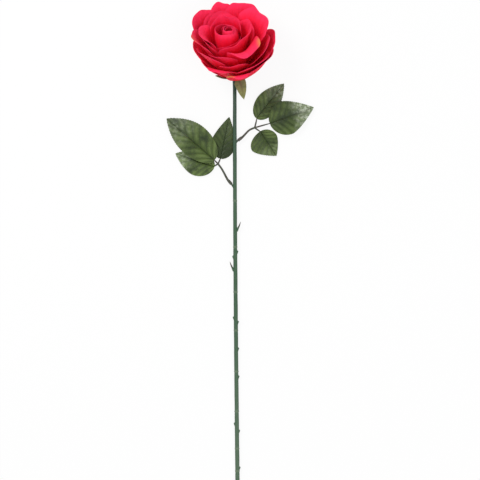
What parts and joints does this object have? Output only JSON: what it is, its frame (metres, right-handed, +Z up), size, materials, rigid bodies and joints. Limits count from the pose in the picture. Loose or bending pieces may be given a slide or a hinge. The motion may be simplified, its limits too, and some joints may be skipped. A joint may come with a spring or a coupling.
{
  "type": "artificial rose stem",
  "caption": "Long-stemmed artificial rose: layered cloth petals on a moulded stem with thorns and two leaf sprays, lying on its back.",
  "frame": {"origin": "centre of the stem's cut end", "axes": "+Y along the stem towards the bloom, +Z up from the table that the rose lies on"},
  "size_m": [0.1592, 0.5152, 0.0848],
  "materials": {
    "stem_plastic": "satin",
    "stalk_plastic": "satin",
    "core_wire": "satin",
    "sepal_cloth": "matte",
    "petal_cloth": "matte",
    "bud_cloth": "matte",
    "leaf_cloth": "gloss"
  },
  "bodies": {
    "root": {"stem": "stem_plastic", "stem_wire": "core_wire", "calyx": "stem_plastic", "bud_core": "stem_plastic", "sepals": "sepal_cloth", "outer_petals": "petal_cloth", "second_petals": "petal_cloth", "third_petals": "petal_cloth", "fourth_petals": "petal_cloth", "inner_petals": "petal_cloth", "cup_petals": "bud_cloth", "bud_wrap_outer": "bud_cloth", "bud_wrap_inner": "bud_cloth", "left_stalk": "stalk_plastic", "right_stalk": "stalk_plastic", "left_leaf_end": "leaf_cloth", "left_leaf_outer": "leaf_cloth", "left_leaf_inner": "leaf_cloth", "right_leaf_top": "leaf_cloth", "right_leaf_end": "leaf_cloth", "right_leaf_low": "leaf_cloth"}
  },
  "joints": []
}
